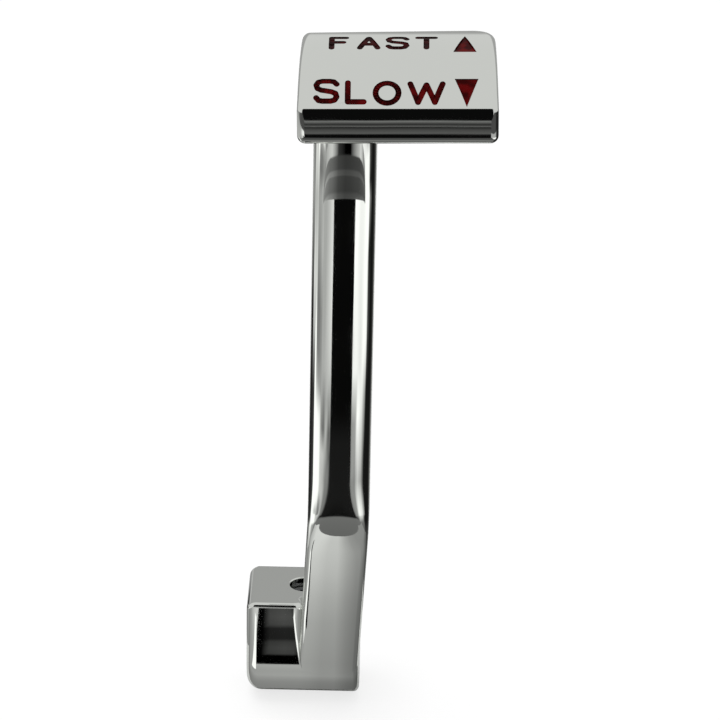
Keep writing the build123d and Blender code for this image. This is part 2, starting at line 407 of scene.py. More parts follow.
def enamel_group():
    """Cloudy colour of a baked paint fill: a deep tone with brighter pools, and its uneven surface as a height."""
    tree, given, out = group(
        "paint_pools",
        [("Position", "NodeSocketVector", None), ("Colour", "NodeSocketColor", None),
         ("Deep Share", "NodeSocketFloat", 0.12), ("Pool Size", "NodeSocketFloat", 420.0)],
        [("Colour", "NodeSocketColor"), ("Height", "NodeSocketFloat")])
    n, link = tree.nodes, tree.links.new
    pools = n.new("ShaderNodeTexNoise"); pools.inputs["Detail"].default_value = 1.0
    link(given.outputs["Position"], pools.inputs["Vector"])
    link(given.outputs["Pool Size"], pools.inputs["Scale"])
    spread = n.new("ShaderNodeMapRange"); spread.interpolation_type = "SMOOTHSTEP"
    spread.inputs["From Min"].default_value = 0.42
    spread.inputs["From Max"].default_value = 0.66
    link(pools.outputs["Fac"], spread.inputs["Value"])
    link(given.outputs["Deep Share"], spread.inputs["To Min"])
    scale = n.new("ShaderNodeVectorMath"); scale.operation = "SCALE"
    link(given.outputs["Colour"], scale.inputs[0])
    link(spread.outputs["Result"], scale.inputs["Scale"])
    link(scale.outputs[0], out.inputs["Colour"])
    link(pools.outputs["Fac"], out.inputs["Height"])
    return tree


def enamel(name, colour):
    """Glossy paint that fills the engraving."""
    mat, n, link = new_material(name)
    bsdf = n["Principled BSDF"]
    bsdf.inputs["Specular IOR Level"].default_value = 0.03
    bsdf.inputs["Roughness"].default_value = 0.16
    where = n.new("ShaderNodeTexCoord")
    paint = n.new("ShaderNodeGroup"); paint.node_tree = once("paint_pools", enamel_group)
    paint.inputs["Colour"].default_value = (*colour, 1.0)
    paint.inputs["Deep Share"].default_value = 0.3
    paint.inputs["Pool Size"].default_value = 300.0
    link(where.outputs["Object"], paint.inputs["Position"])
    link(paint.outputs["Colour"], bsdf.inputs["Base Color"])
    link(bump(n, link, paint.outputs["Height"], ENAMEL_RELIEF), bsdf.inputs["Normal"])
    return mat


# ---- settings ----

class HandPlateSettings(bpy.types.PropertyGroup):
    engraving_depth: bpy.props.FloatProperty(
        name="Engraving depth", description="How deep the marks are cut into the crown", default=0.45 * MM,
        unit="LENGTH")
    stroke_width: bpy.props.FloatProperty(
        name="Stroke width", description="Width of an engraved stroke", default=1.5 * MM, unit="LENGTH")
    enamel_colour: bpy.props.FloatVectorProperty(
        name="Enamel", description="Colour that fills the marks", size=3, subtype="COLOR",
        default=(0.085, 0.0010, 0.0013))


class LeverSettings(bpy.types.PropertyGroup):
    steel_colour: bpy.props.FloatVectorProperty(
        name="Steel", description="Colour of the polished steel", size=3, subtype="COLOR",
        default=(0.757, 0.775, 0.738))
    shine: bpy.props.FloatProperty(
        name="Shine", description="Roughness of the cleanest metal", default=0.03, min=0.0, max=1.0,
        subtype="FACTOR")


class ClampScrewSettings(bpy.types.PropertyGroup):
    thread_pitch: bpy.props.FloatProperty(
        name="Thread pitch", description="Travel of the clamp screw in one turn", default=1.058 * MM,
        unit="LENGTH")
    thread_depth: bpy.props.FloatProperty(
        name="Thread depth", description="From the thread's crest to its root", default=0.6 * MM, unit="LENGTH")


class StudioSettings(bpy.types.PropertyGroup):
    floor_size: bpy.props.FloatProperty(
        name="Floor size", description="Side of the white floor", default=12.0, unit="LENGTH")
    air_level: bpy.props.FloatProperty(
        name="Air", description="Brightness of the room round the lever", default=0.74, min=0.0)
    lamp_power: bpy.props.FloatProperty(
        name="Lamp", description="Power of the soft lamp overhead", default=12.0, min=0.0, unit="POWER")


# ---- metal of the lever ----

def arm_outline(point, way, rounding, steps=12):
    """Points and facings once round the arm: flat back and sides, softly crowned front."""
    wide = (Vector((1, 0, 0)) - way * way.x).normalized()
    back = way.cross(wide)
    half, deep = ARM_WIDTH / 2, ARM_THICK / 2
    full = (rounding - ARM_LOW_ROUND) / (ARM_ROUND - ARM_LOW_ROUND)
    crown = 1 / (1 / FRONT_CROWN_LOW + (1 / FRONT_CROWN - 1 / FRONT_CROWN_LOW) * full)
    edge = math.degrees(math.asin((half - rounding) / (crown - rounding)))
    low = deep - crown * (1 - math.cos(math.radians(edge))) - rounding * math.cos(math.radians(edge))
    out = []

    def put_arc(cx, cy, r, start, stop, count):
        for (dx, dy), (nx, ny) in arc_points(r, start, stop, count):
            out.append((point + wide * (cx + dx) + back * (cy + dy), wide * nx + back * ny))
    r = ARM_BACK_ROUND
    put_arc(half - r, deep - r, r, 0, 90, steps)
    put_arc(-(half - r), deep - r, r, 90, 180, steps)
    put_arc(-(half - rounding), -low, rounding, 180, 270 - edge, steps)
    put_arc(0, crown - deep, crown, 270 - edge, 270 + edge, 8)
    put_arc(half - rounding, -low, rounding, 270 + edge, 360, steps)
    return out


def arm_skin():
    """The arm from its foot in the hub to its end in the hand plate."""
    outlines = [arm_outline(point, way, rounding) for point, way, rounding in ARM_STATIONS]
    rows = []
    for j, outline in enumerate(outlines):
        before, after = outlines[max(j - 1, 0)], outlines[min(j + 1, len(outlines) - 1)]
        row = []
        for i, (point, flat) in enumerate(outline):
            along = (after[i][0] - before[i][0]).normalized()
            row.append((point, (flat - along * flat.dot(along)).normalized()))
        rows.append(row)
    skin = Skin().rows(rows, closed_round=True)
    foot = [p for p, _ in outlines[0]]
    end = [p for p, _ in outlines[-1]]
    return skin.patch(foot, -LOWER_WAY).patch(end, NECK_WAY)


def hub_outline(inset):
    """(y, z) points and facings round the hub, set in by inset, from the front of the round bottom backwards."""
    r = HUB_RADIUS - inset
    out = [((r * math.cos(math.radians(a)), r * math.sin(math.radians(a))),
            (math.cos(math.radians(a)), math.sin(math.radians(a)))) for a in range(180, 361, 4)]
    top = HUB_RISE - inset
    for side, rounding, start in ((1, max(HUB_BACK_ROUND - inset, HUB_FRONT_ROUND), 0), (-1, HUB_FRONT_ROUND, 90)):
        for (dy, dz), facing in arc_points(rounding, start, start + 90, 12):
            out.append(((side * (r - rounding) + dy, top - rounding + dz), facing))
    return out


def hub_skin():
    """The clamp hub's outside: flat top, round bottom and rounded ends."""
    inboard = [(-HUB_HALF + HUB_INBOARD_ROUND - dx, HUB_INBOARD_ROUND - dr, (-nx, nr)) for (dx, dr), (nx, nr) in
               arc_points(HUB_INBOARD_ROUND, 0, 90, 14)]
    outboard = [(HUB_HALF - HUB_OUTBOARD_ROUND + dx, HUB_OUTBOARD_ROUND - dr, (nx, nr)) for (dx, dr), (nx, nr) in
                arc_points(HUB_OUTBOARD_ROUND, 90, 0, 10)]
    fuller = [1 + HUB_FOOT_EXTRA / HUB_INBOARD_ROUND * max(0.0, -nz) ** 1.5 for _, (_, nz) in hub_outline(0.0)]
    rows = []
    for x, inset, (end, outward) in inboard:
        row = []
        for i, more in enumerate(fuller):
            (y, z), (ny, nz) = hub_outline(inset * more)[i]
            facing = Vector((end, ny * outward, nz * outward)).normalized()
            row.append(((-HUB_HALF + (x + HUB_HALF) * more, y, z), facing))
        rows.append(row)
    for x, inset, (end, outward) in outboard:
        rows.append([((x, y, z), Vector((end, ny * outward, nz * outward)).normalized())
                     for (y, z), (ny, nz) in hub_outline(inset)])
    skin = Skin().rows(rows, closed_round=True)
    return skin.patch([p for p, _ in rows[0]], (-1, 0, 0)).patch([p for p, _ in rows[-1]], (1, 0, 0))


def round_bore(radius, start, stop, axis, lip, steps=72):
    """Cutting tool for a round hole along x or z, flared by lip at its mouth, which is at start."""
    along = 1 if stop > start else -1

    def at(x, r, a):
        y, z = r * math.cos(a), r * math.sin(a)
        return (x, y, z) if axis == "x" else (y, z, x)
    turns = [2 * math.pi * k / steps for k in range(steps)]
    profile = [((start + along * (lip - lip * math.sin(t)), radius + lip - lip * math.cos(t)),
                (along * math.sin(t), math.cos(t))) for t in (math.radians(9 * k) for k in range(10, -1, -1))]
    outer = (start - along * 3.0, profile[0][0][1])
    skin = Skin()
    skin.rows([[(at(outer[0], outer[1], a), at(0, 1, a)) for a in turns],
               [(at(profile[0][0][0], profile[0][0][1], a), at(0, 1, a)) for a in turns]], closed_round=True)
    skin.rows([[(at(x, r, a), at(nx, nr, a)) for a in turns] for (x, r), (nx, nr) in profile], closed_round=True)
    skin.rows([[(at(profile[-1][0][0], radius, a), at(0, 1, a)) for a in turns],
               [(at(stop, radius, a), at(0, 1, a)) for a in turns]], closed_round=True)
    skin.patch([at(stop, radius, a) for a in turns], at(along, 0, 0))
    skin.patch([at(outer[0], outer[1], a) for a in turns], at(-along, 0, 0))
    return skin


def turned_in(skin):
    """The same surface, facing the other way, as a hole's wall does."""
    other = Skin()
    other.points, other.faces = list(skin.points), list(skin.faces)
    other.facing = [-f for f in skin.facing]
    return other


def hub_gap(p):
    """How far a point stands from the hub's outside, leaving out its ends."""
    y, z = p[1], p[2]
    if z <= 0:
        return math.hypot(y, z) - HUB_RADIUS
    r = HUB_FRONT_ROUND if y < 0 else HUB_BACK_ROUND
    dy, dz = abs(y) - (HUB_RADIUS - r), z - (HUB_RISE - r)
    return math.hypot(max(dy, 0), max(dz, 0)) + min(max(dy, dz), 0) - r


def arm_gap(p):
    """How far a point stands from the straight part of the arm over the hub."""
    wide = (Vector((1, 0, 0)) - LOWER_WAY * LOWER_WAY.x).normalized()
    back = LOWER_WAY.cross(wide)
    off = Vector(p) - FOOT
    x, y = off.dot(wide), off.dot(back)
    r = ARM_BACK_ROUND if y > 0 else ARM_LOW_ROUND
    dx, dy = abs(x) - (ARM_WIDTH / 2 - r), abs(y) - (ARM_THICK / 2 - r)
    return math.hypot(max(dx, 0), max(dy, 0)) + min(max(dx, dy), 0) - r


def slope(gap, p):
    """Which way a gap grows fastest at a point."""
    h = 1e-4
    return Vector([(gap(p + Vector(e)) - gap(p - Vector(e))) / (2 * h)
                   for e in ((h, 0, 0), (0, h, 0), (0, 0, h))])


def weld_skin(radius=WELD_RADIUS, step=WELD_STEP):
    """Hollow rounding where the arm leaves the hub: the track of a ball that rolls along both."""
    def settle(p, r):
        for _ in range(12):
            a, b = slope(hub_gap, p), slope(arm_gap, p)
            ea, eb = hub_gap(p) - r, arm_gap(p) - r
            aa, ab, bb = a.dot(a), a.dot(b), b.dot(b)
            det = aa * bb - ab * ab
            if abs(det) < 1e-6:
                return None
            p = p - a * ((ea * bb - eb * ab) / det) - b * ((eb * aa - ea * ab) / det)
            if abs(ea) + abs(eb) < 1e-6:
                break
        return p

    start = settle(Vector((-2.7, -12.0, HUB_RISE + radius)), radius)
    tracks = []
    for sign in (1, -1):
        p, track, r = start.copy(), [], radius
        way = None
        for _ in range(400):
            a, b = slope(hub_gap, p).normalized(), slope(arm_gap, p).normalized()
            opening = a.angle(b)
            track.append((p.copy(), a, b, r))
            if opening < math.radians(7) or p.x > HUB_HALF - HUB_OUTBOARD_ROUND - WELD_STOP:
                break
            along = a.cross(b).normalized() * sign
            if way is not None and along.dot(way) < 0:
                along = -along
            way = along
            if p.x > HUB_HALF - HUB_OUTBOARD_ROUND - WELD_FADE:
                r = max(WELD_LEAST, r - WELD_SHRINK)
            elif p.y < -HUB_RADIUS:
                r = radius * min(1.0, max(0.1, (p.z + WELD_TAIL) / (HUB_RISE + 1.0)))
            nxt = settle(p + along * min(step, 0.2 * r + 0.1), r)
            if nxt is None or (nxt - p).length > 1.5:
                break
            p = nxt
        tracks.append(track)
    track = tracks[1][::-1] + tracks[0][1:]
    rows = [[(p - n * r, n) for n in swung(a, b, 12)] for p, a, b, r in track]
    skin = Skin().rows(rows)
    # closed underneath, inside the metal
    deep = [p - (a + b).normalized() * (r / math.cos(a.angle(b) / 2) + 0.6) for p, a, b, r in track]
    for side in (0, -1):
        skin.rows([[(row[side][0], -row[side][1]) for row in rows], [(d, -row[side][1]) for d, row in zip(deep, rows)]])
    for j in (0, -1):
        skin.patch([p for p, _ in rows[j]] + [deep[j]], (rows[j][6][1]).cross(Vector((0, 0, 1))))
    return skin


def plate_columns():
    """Points round the plate, seen from above and set in by its rounding, each with the way it faces outwards.
    Left and right points come in pairs at the same distance back, so that the crown is made of straight strips."""
    front, back = PLATE_FRONT, PLATE_BACK
    left, right = PLATE_START, PLATE_START + PLATE_WIDTH
    lean = math.atan2(PLATE_TAPER, PLATE_REACH)
    skew = math.atan2(PLATE_SKEW, PLATE_WIDTH - 2 * PLATE_TAPER)
    left_lean = math.atan2(PLATE_TAPER, PLATE_REACH - PLATE_SKEW)
    n_left = Vector((-math.cos(left_lean), math.sin(left_lean)))
    n_right = Vector((math.cos(lean), math.sin(lean)))
    n_back = Vector((-math.sin(skew), math.cos(skew)))
    n_front = Vector((0, -1))

    def meet(p, n, q, m, dn, dm):
        """Where the lines through p and q, square to n and m, cross once set in by dn and dm."""
        det = n.x * m.y - n.y * m.x
        a, b = n.dot(p) - dn, m.dot(q) - dm
        return Vector(((a * m.y - b * n.y) / det, (n.x * b - m.x * a) / det))
    fl, fr = Vector((left, front)), Vector((right, front))
    bl = Vector((left + PLATE_TAPER, back - PLATE_SKEW))
    br = Vector((right - PLATE_TAPER, back))
    r = PLATE_ROUND
    in_fl, in_fr = meet(fl, n_left, fl, n_front, r, r), meet(fr, n_right, fr, n_front, r, r)
    in_bl = meet(bl, n_left, bl, n_back, r, r)
    hub = meet(br, n_right, br, n_back, PLATE_CORNER, PLATE_CORNER)
    big = PLATE_CORNER - r
    turn0, turn1 = math.atan2(n_right.y, n_right.x), math.atan2(n_back.y, n_back.x)
    corner = [(hub + Vector((math.cos(a), math.sin(a))) * big, Vector((math.cos(a), math.sin(a))))
              for a in (turn0 + (turn1 - turn0) * k / 14 for k in range(15))]

    def fan(at, start, stop, steps=8):
        a0, a1 = math.atan2(start.y, start.x), math.atan2(stop.y, stop.x)
        while a1 < a0:
            a1 += 2 * math.pi
        return [(at, Vector((math.cos(a0 + (a1 - a0) * k / steps), math.sin(a0 + (a1 - a0) * k / steps))))
                for k in range(steps + 1)]

    # levels back from the front, at which both sides have a point
    levels = [in_fl.y + (corner[0][0].y - in_fl.y) * k / 44 for k in range(45)]
    levels += [p.y for p, _ in corner[1:]]
    levels = sorted(set(round(v, 6) for v in levels + [in_bl.y]))
    back_slope = corner[-1][0] - in_bl

    def on_left(y):
        if y <= in_bl.y:
            t = (y - in_fl.y) / (in_bl.y - in_fl.y)
            return in_fl.lerp(in_bl, t), n_left
        return in_bl + back_slope * ((y - in_bl.y) / back_slope.y), n_back

    def on_right(y):
        if y <= corner[0][0].y:
            t = (y - in_fr.y) / (corner[0][0].y - in_fr.y)
            return in_fr.lerp(corner[0][0], t), n_right
        a = math.asin(min(1.0, (y - hub.y) / big))
        facing = Vector((math.cos(a), math.sin(a)))
        return hub + facing * big, facing
    top = max(p.y for p, _ in corner)
    levels = [y for y in levels if y < top - 1e-5]
    pairs = [(on_left(y), on_right(y)) for y in levels]
    fans = fan(in_fl, n_left, n_front), fan(in_fr, n_front, n_right), fan(in_bl, n_back, n_left)
    return pairs, fans, corner, in_bl


def plate_skin():
    """The hand plate: crowned hand surface, hollow underside and rounded edges."""
    pairs, (fan_fl, fan_fr, fan_bl), corner, in_bl = plate_columns()
    r = PLATE_ROUND
    steps = 10

    def column(at, out):
        """Down the edge: from the crown round to the side, and round to the underside."""
        y = at.y
        near = max(0.0, 1 - (y - PLATE_FRONT - r) / 5.0)
        top_y = y + 0.5 * near * near
        top_z = CROWN_Z + math.sqrt((PLATE_RADIUS - r) ** 2 - (top_y - CROWN_Y) ** 2)
        low_z = UNDER_Z + math.sqrt((UNDER_RADIUS + r) ** 2 - (y - UNDER_Y) ** 2)
        up = (ABOVE * (top_z - CROWN_Z) + Vector((0, top_y - CROWN_Y, 0))).normalized()
        down = -(ABOVE * (low_z - UNDER_Z) + Vector((0, y - UNDER_Y, 0))).normalized()
        side = ACROSS * out.x + Vector((0, out.y, 0))
        def leaning(degrees):
            return (side + ABOVE * (math.tan(math.radians(degrees)) * max(0.0, -out.y))).normalized()
        line = []
        for y, z, first, last in ((top_y, top_z, up, leaning(PLATE_LEAN_TOP)),
                                  (y, low_z, leaning(PLATE_LEAN_FOOT), down)):
            line += [(on_plate(at.x, y, z) + n * r, n) for n in swung(first, last, steps)]
        return line

    lefts = [one for one, _ in pairs]
    rights = [two for _, two in pairs]
    split = next(i for i, (at, _) in enumerate(lefts) if at.y >= in_bl.y - 1e-6)
    # once round: front left, front, front right, right side, corner, back, back left, left side
    round_it = list(fan_fl) + list(fan_fr) + rights[1:]
    tail = [one for one in corner if one[0].y > rights[-1][0].y + 1e-6 or one[1].x < rights[-1][1].x - 1e-6]
    round_it += tail
    round_it += [one for one in lefts[split + 1:][::-1]]
    round_it += list(fan_bl) + lefts[1:split][::-1]
    rows = [column(at, out) for at, out in round_it]
    skin = Skin().rows(rows, closed_along=True)

    crown = [(column(*a)[0], column(*b)[0]) for a, b in pairs]
    under = [(column(*a)[-1], column(*b)[-1]) for a, b in pairs]
    for ladder in (crown, under):
        skin.rows([[one, two] for one, two in ladder])
    # what is left of the crown and underside past the last pair of points
    for at in (0, -1):
        rim = [column(*lefts[-1])[at]] + [column(*one)[at] for one in [rights[-1]] + tail]
        skin.patch([p for p, _ in rim], rim[0][1])
    return skin


# ---- pieces ----

def on_crown(across, along, depth):
    """A point on the plate: across from its inboard end, along the crown from its ridge, depth above the crown."""
    turn, r = along / PLATE_RADIUS, PLATE_RADIUS + depth
    return on_plate(PLATE_START + across, CROWN_Y - r * math.sin(turn), CROWN_Z + r * math.cos(turn))


def from_crown(p):
    """Where a point lies: across from the inboard end, along the crown from its ridge, depth under the crown."""
    off = p - on_plate(PLATE_START, 0.0, 0.0)
    up, back = off.dot(ABOVE) - CROWN_Z, p.y - CROWN_Y
    return off.dot(ACROSS), math.atan2(-back, up) * PLATE_RADIUS, PLATE_RADIUS - math.hypot(back, up)


def prism(outline, low, high):
    """Closed block on the crown between two depths, from an outline of (across, along) points."""
    n = len(outline)
    verts = [on_crown(a, s, low) for a, s in outline] + [on_crown(a, s, high) for a, s in outline]
    faces = [tuple(range(n)), tuple(range(2 * n - 1, n - 1, -1))]
    faces += [(i, i + n, (i + 1) % n + n, (i + 1) % n) for i in range(n)]
    return verts, faces


def capsule(p, q, half, steps=8):
    """Outline of a round-ended stroke from p to q."""
    heading = math.atan2(q[1] - p[1], q[0] - p[0])
    points = []
    for centre, start in ((q, heading - math.pi / 2), (p, heading + math.pi / 2)):
        for k in range(steps + 1):
            a = start + math.pi * k / steps
            points.append((centre[0] + half * math.cos(a), centre[1] + half * math.sin(a)))
    return points


def row_of_marks(marks, half):
    """Outlines for a list of (letter, left, right, top, bottom), measured to the outside of the strokes."""
    outlines = []
    for letter, left, right, top, bottom in marks:
        def place(point):
            return (left + half + point[0] * (right - left - 2 * half),
                    bottom - half + point[1] * (top - bottom + 2 * half))
        for line in STROKES[letter]:
            spots = [place(p) for p in line]
            for p, q in zip(spots, spots[1:]):
                if math.dist(p, q) > 1e-6:
                    outlines.append(capsule(p, q, half))
    return outlines


def block_of(name, outlines, low, high):
    """One object of closed blocks on the crown, one for each outline."""
    verts, faces = [], []
    for outline in outlines:
        v, f = prism(outline, low, high)
        faces += [tuple(i + len(verts) for i in face) for face in f]
        verts += v
    mesh = new_mesh(name, verts, faces)
    work = bmesh.new()
    work.from_mesh(mesh)
    bmesh.ops.recalc_face_normals(work, faces=work.faces)
    work.to_mesh(mesh)
    work.free()
    return put(name, mesh)


# Each mark: its letter, left and right from the plate's inboard end, top and bottom along the crown.
FAST_ROW = [("F", 7.8, 12.94, 1.15, 8.1), ("A", 14.98, 21.0, 1.15, 8.1), ("S", 22.22, 28.35, 1.15, 8.1),
            ("T", 29.72, 35.57, 1.15, 8.1)]
SLOW_ROW = [("S", 4.23, 10.87, 18.8, 26.05), ("L", 12.18, 17.71, 19.25, 26.25), ("O", 19.15, 26.46, 19.4, 26.6),
            ("W", 27.89, 37.54, 19.6, 26.4)]
FAST_ARROW = [(42.4, 0.85), (45.35, 9.2), (39.45, 9.2)]
SLOW_ARROW = [(42.85, 26.95), (39.8, 18.85), (45.8, 18.85)]
ENAMEL_DROP = 0.2                                 # the enamel's surface lies this far under the crown
MARKS_ACROSS, MARKS_ALONG = (4.0, 46.3), (0.3, 27.1)  # all marks lie between these, on the crown


class LEVER_OT_hand_plate(bpy.types.Operator):
    """Engraves the hand plate and fills its marks with enamel"""
    bl_idname = "lever.hand_plate"
    bl_label = "Hand plate"

    def execute(self, context):
        chosen = context.scene.hand_plate_settings
        half = chosen.stroke_width / MM / 2
        deep = chosen.engraving_depth / MM
        rows = {"fast_letters": row_of_marks(FAST_ROW, half), "slow_letters": row_of_marks(SLOW_ROW, half),
                "fast_arrow": [FAST_ARROW], "slow_arrow": [SLOW_ARROW]}
        skin = plate_skin()
        plate = put("engraved_plate", skin.mesh("engraved_plate"))
        metal = context.scene.lever_settings
        red = enamel("mark_enamel", chosen.enamel_colour)
        # The same enamel darkened to 35 %: painted shade for the fast row on the crown's ridge, whose grooves look
        # darker.
        fast_row_shaded_red = enamel("ridge_enamel_painted_shade", [c * 0.35 for c in chosen.enamel_colour])
        for name, outlines in rows.items():
            tool = block_of(name + "_cutter", outlines, -deep, 1.0)
            cut(plate, tool, overlapping=True)
            bpy.data.objects.remove(tool)
            fill = block_of(name, outlines, -deep - 0.02, -ENAMEL_DROP)
            # the fast letters take the darker copy of the enamel, which is painted shade
            fill.data.materials.append(fast_row_shaded_red if name == "fast_letters" else red)
            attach(fill, "lever")
        if len(plate.data.polygons) < 100:
            raise RuntimeError("the engraving left nothing of the plate")
        face_truly(plate, [skin])
        plate.data.materials.clear()
        plate.data.materials.append(
            steel("plate_polish", metal.steel_colour, metal.shine, POLISH_HAZE, LINE_DEPTH, WAVE_DEPTH))
        # The engraving's walls and floor take the enamel darkened to 12 %: painted shade inside the grooves.
        plate.data.materials.append(enamel("groove_wall_painted_shade", [c * 0.12 for c in chosen.enamel_colour]))
        shaded_wall_faces = 0
        for face in plate.data.polygons:
            across, along, depth = from_crown(face.center / MM)
            within = MARKS_ACROSS[0] < across < MARKS_ACROSS[1] and MARKS_ALONG[0] < along < MARKS_ALONG[1]
            if within and 0.02 < depth < deep + 0.05:
                face.material_index = 1
                shaded_wall_faces += 1
        if not shaded_wall_faces:
            raise RuntimeError("no groove wall was found to line")
        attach(plate, "lever")
        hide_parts("hand_plate")
        return {"FINISHED"}


class LEVER_OT_arm(bpy.types.Operator):
    """Makes the clamp hub with its bore and screw hole, and the arm that rises from it"""
    bl_idname = "lever.arm"
    bl_label = "Hub and arm"

    def execute(self, context):
        chosen = context.scene.lever_settings
        hub, arm, weld = hub_skin(), arm_skin(), weld_skin()
        bore = round_bore(BORE_RADIUS, -HUB_HALF, -HUB_HALF + BORE_DEPTH, "x", 0.5)
        hole = round_bore(SCREW_HOLE, HUB_RISE, 0.5, "z", 0.35)
        lever = put("hub_and_arm", hub.mesh("hub_and_arm"))
        for name, skin in (("bore", bore), ("screw_hole", hole)):
            tool = put(name, skin.mesh(name))
            cut(lever, tool)
            bpy.data.objects.remove(tool)
        face_truly(lever, [hub, turned_in(bore), turned_in(hole)])
        parts = [lever]
        lever.data.materials.append(None)
        lever.data.materials.append(None)
        # The screw hole's wall takes a rougher drilled finish, and a dark grey of 0.1 instead of the steel's colour as
        # painted shade in the hole.
        for face in lever.data.polygons:
            at = face.center / MM
            if 0.4 < at.z < HUB_RISE - 0.3 and math.hypot(at.x, at.y) < SCREW_HOLE + 0.1:
                face.material_index = 1
        for name, skin in (("arm_blank", arm), ("weld_round", weld)):
            blank = put(name, skin.mesh(name))
            face_truly(blank, [skin])
            parts.append(blank)
        with bpy.context.temp_override(active_object=lever, selected_editable_objects=parts, object=lever,
                                       selected_objects=parts):
            bpy.ops.object.join()
        lever.data.materials[0] = steel(
            "arm_polish", chosen.steel_colour, chosen.shine, POLISH_HAZE, LINE_DEPTH, WAVE_DEPTH)
        lever.data.materials[1] = steel("drilled_steel_painted_shade", (0.1, 0.1, 0.1), 0.3, 0.2, 4e-7, 1e-5)
        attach(lever, "lever")
        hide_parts("clamp_hub", "arm")
        return {"FINISHED"}


def screw_blank(pitch, steps=96):
    """The clamp screw before its thread is cut: cup point, chamfers and hexagon socket, as one closed mesh."""
    profile = [(SCREW_CUP[0], SCREW_FOOT), (SCREW_RADIUS - SCREW_FOOT_CHAMFER, SCREW_FOOT)]
    low, high = SCREW_FOOT + SCREW_FOOT_CHAMFER, SCREW_TOP - SCREW_TOP_CHAMFER
    count = round((high - low) / pitch * RINGS_PER_PITCH)
    profile += [(SCREW_RADIUS - SCREW_FOOT_CHAMFER * (1 - k / 9), SCREW_FOOT + SCREW_FOOT_CHAMFER * k / 9)
                for k in range(1, 9)]
    profile += [(SCREW_RADIUS, low + (high - low) * k / count) for k in range(count + 1)]
    profile += [(SCREW_RADIUS - SCREW_TOP_CHAMFER * k / 6, high + SCREW_TOP_CHAMFER * k / 6) for k in range(1, 7)]
    profile.append((SOCKET_MOUTH, SCREW_TOP))
    turns = [2 * math.pi * k / steps for k in range(steps)]
    rings = [[(r * math.cos(a), r * math.sin(a), z) for a in turns] for r, z in profile]
    flats = [SOCKET_FLATS / 2 / math.cos((a % (math.pi / 3)) - math.pi / 6) for a in turns]
    for drop in (0.0, SOCKET_DEPTH - SOCKET_BEVEL):
        rings.append([(r * math.cos(a), r * math.sin(a), SCREW_TOP - drop - (SOCKET_MOUTH - r if not drop else 0.0))
                      for a, r in zip(turns, flats)])
    rings.append([(DRILL_RADIUS * math.cos(a), DRILL_RADIUS * math.sin(a), SCREW_TOP - SOCKET_DEPTH) for a in turns])
    verts = [(0.0, 0.0, SCREW_FOOT + SCREW_CUP[1])] + [p for ring in rings for p in ring]
    verts.append((0.0, 0.0, SCREW_TOP - SOCKET_DEPTH - DRILL_CONE))
    faces = [(0, 1 + (i + 1) % steps, 1 + i) for i in range(steps)]
    for j in range(len(rings) - 1):
        a, b = 1 + j * steps, 1 + (j + 1) * steps
        faces += [(a + i, a + (i + 1) % steps, b + (i + 1) % steps, b + i) for i in range(steps)]
    last = 1 + (len(rings) - 1) * steps
    faces += [(last + i, last + (i + 1) % steps, len(verts) - 1) for i in range(steps)]
    return new_mesh("clamp_screw_threaded", verts, faces)


def thread_tree():
    """Geometry nodes that cut a right-hand thread of a given pitch and depth round the upright axis."""
    tree = bpy.data.node_groups.new("screw_thread", "GeometryNodeTree")
    tree.interface.new_socket("Geometry", in_out="INPUT", socket_type="NodeSocketGeometry")
    for name in ("Crest Radius", "Pitch", "Depth", "Crest Share", "Root Share"):
        tree.interface.new_socket(name, in_out="INPUT", socket_type="NodeSocketFloat")
    tree.interface.new_socket("Steel", in_out="INPUT", socket_type="NodeSocketMaterial")
    tree.interface.new_socket("Geometry", in_out="OUTPUT", socket_type="NodeSocketGeometry")
    n, link = tree.nodes, tree.links.new
    given, out = n.new("NodeGroupInput"), n.new("NodeGroupOutput")

    def math_node(operation, *inputs):
        node = n.new("ShaderNodeMath")
        node.operation = operation
        for socket, value in zip(node.inputs, inputs):
            if isinstance(value, (int, float)):
                socket.default_value = value
            else:
                link(value, socket)
        return node.outputs[0]

    where, split = n.new("GeometryNodeInputPosition"), n.new("ShaderNodeSeparateXYZ")
    link(where.outputs[0], split.inputs[0])
    x, y, z = split.outputs
    radius = math_node("SQRT", math_node("ADD", math_node("MULTIPLY", x, x), math_node("MULTIPLY", y, y)))
    turn = math_node("DIVIDE", math_node("ARCTAN2", y, x), 2 * math.pi)
    phase = math_node("FRACT", math_node("SUBTRACT", math_node("DIVIDE", z, given.outputs["Pitch"]), turn))
    away = math_node("ABSOLUTE", math_node("SUBTRACT", math_node("MULTIPLY", phase, 2.0), 1.0))
    flank = n.new("ShaderNodeMapRange")
    flank.clamp = True
    link(away, flank.inputs["Value"])
    link(given.outputs["Root Share"], flank.inputs["From Min"])
    link(math_node("SUBTRACT", 1.0, given.outputs["Crest Share"]), flank.inputs["From Max"])
    sunk = math_node("MULTIPLY", math_node("SUBTRACT", 1.0, flank.outputs["Result"]), given.outputs["Depth"])
    kept = math_node("MINIMUM", radius, math_node("SUBTRACT", given.outputs["Crest Radius"], sunk))
    share = math_node("DIVIDE", kept, math_node("MAXIMUM", radius, 1e-6))
    joined, moved = n.new("ShaderNodeCombineXYZ"), n.new("GeometryNodeSetPosition")
    link(math_node("MULTIPLY", x, share), joined.inputs[0])
    link(math_node("MULTIPLY", y, share), joined.inputs[1])
    link(z, joined.inputs[2])
    link(given.outputs["Geometry"], moved.inputs["Geometry"])
    link(joined.outputs[0], moved.inputs["Position"])
    real, finished = n.new("GeometryNodeRealizeInstances"), n.new("GeometryNodeSetMaterial")
    link(moved.outputs["Geometry"], real.inputs["Geometry"])
    link(real.outputs["Geometry"], finished.inputs["Geometry"])
    link(given.outputs["Steel"], finished.inputs["Material"])
    link(finished.outputs["Geometry"], out.inputs["Geometry"])
    return tree


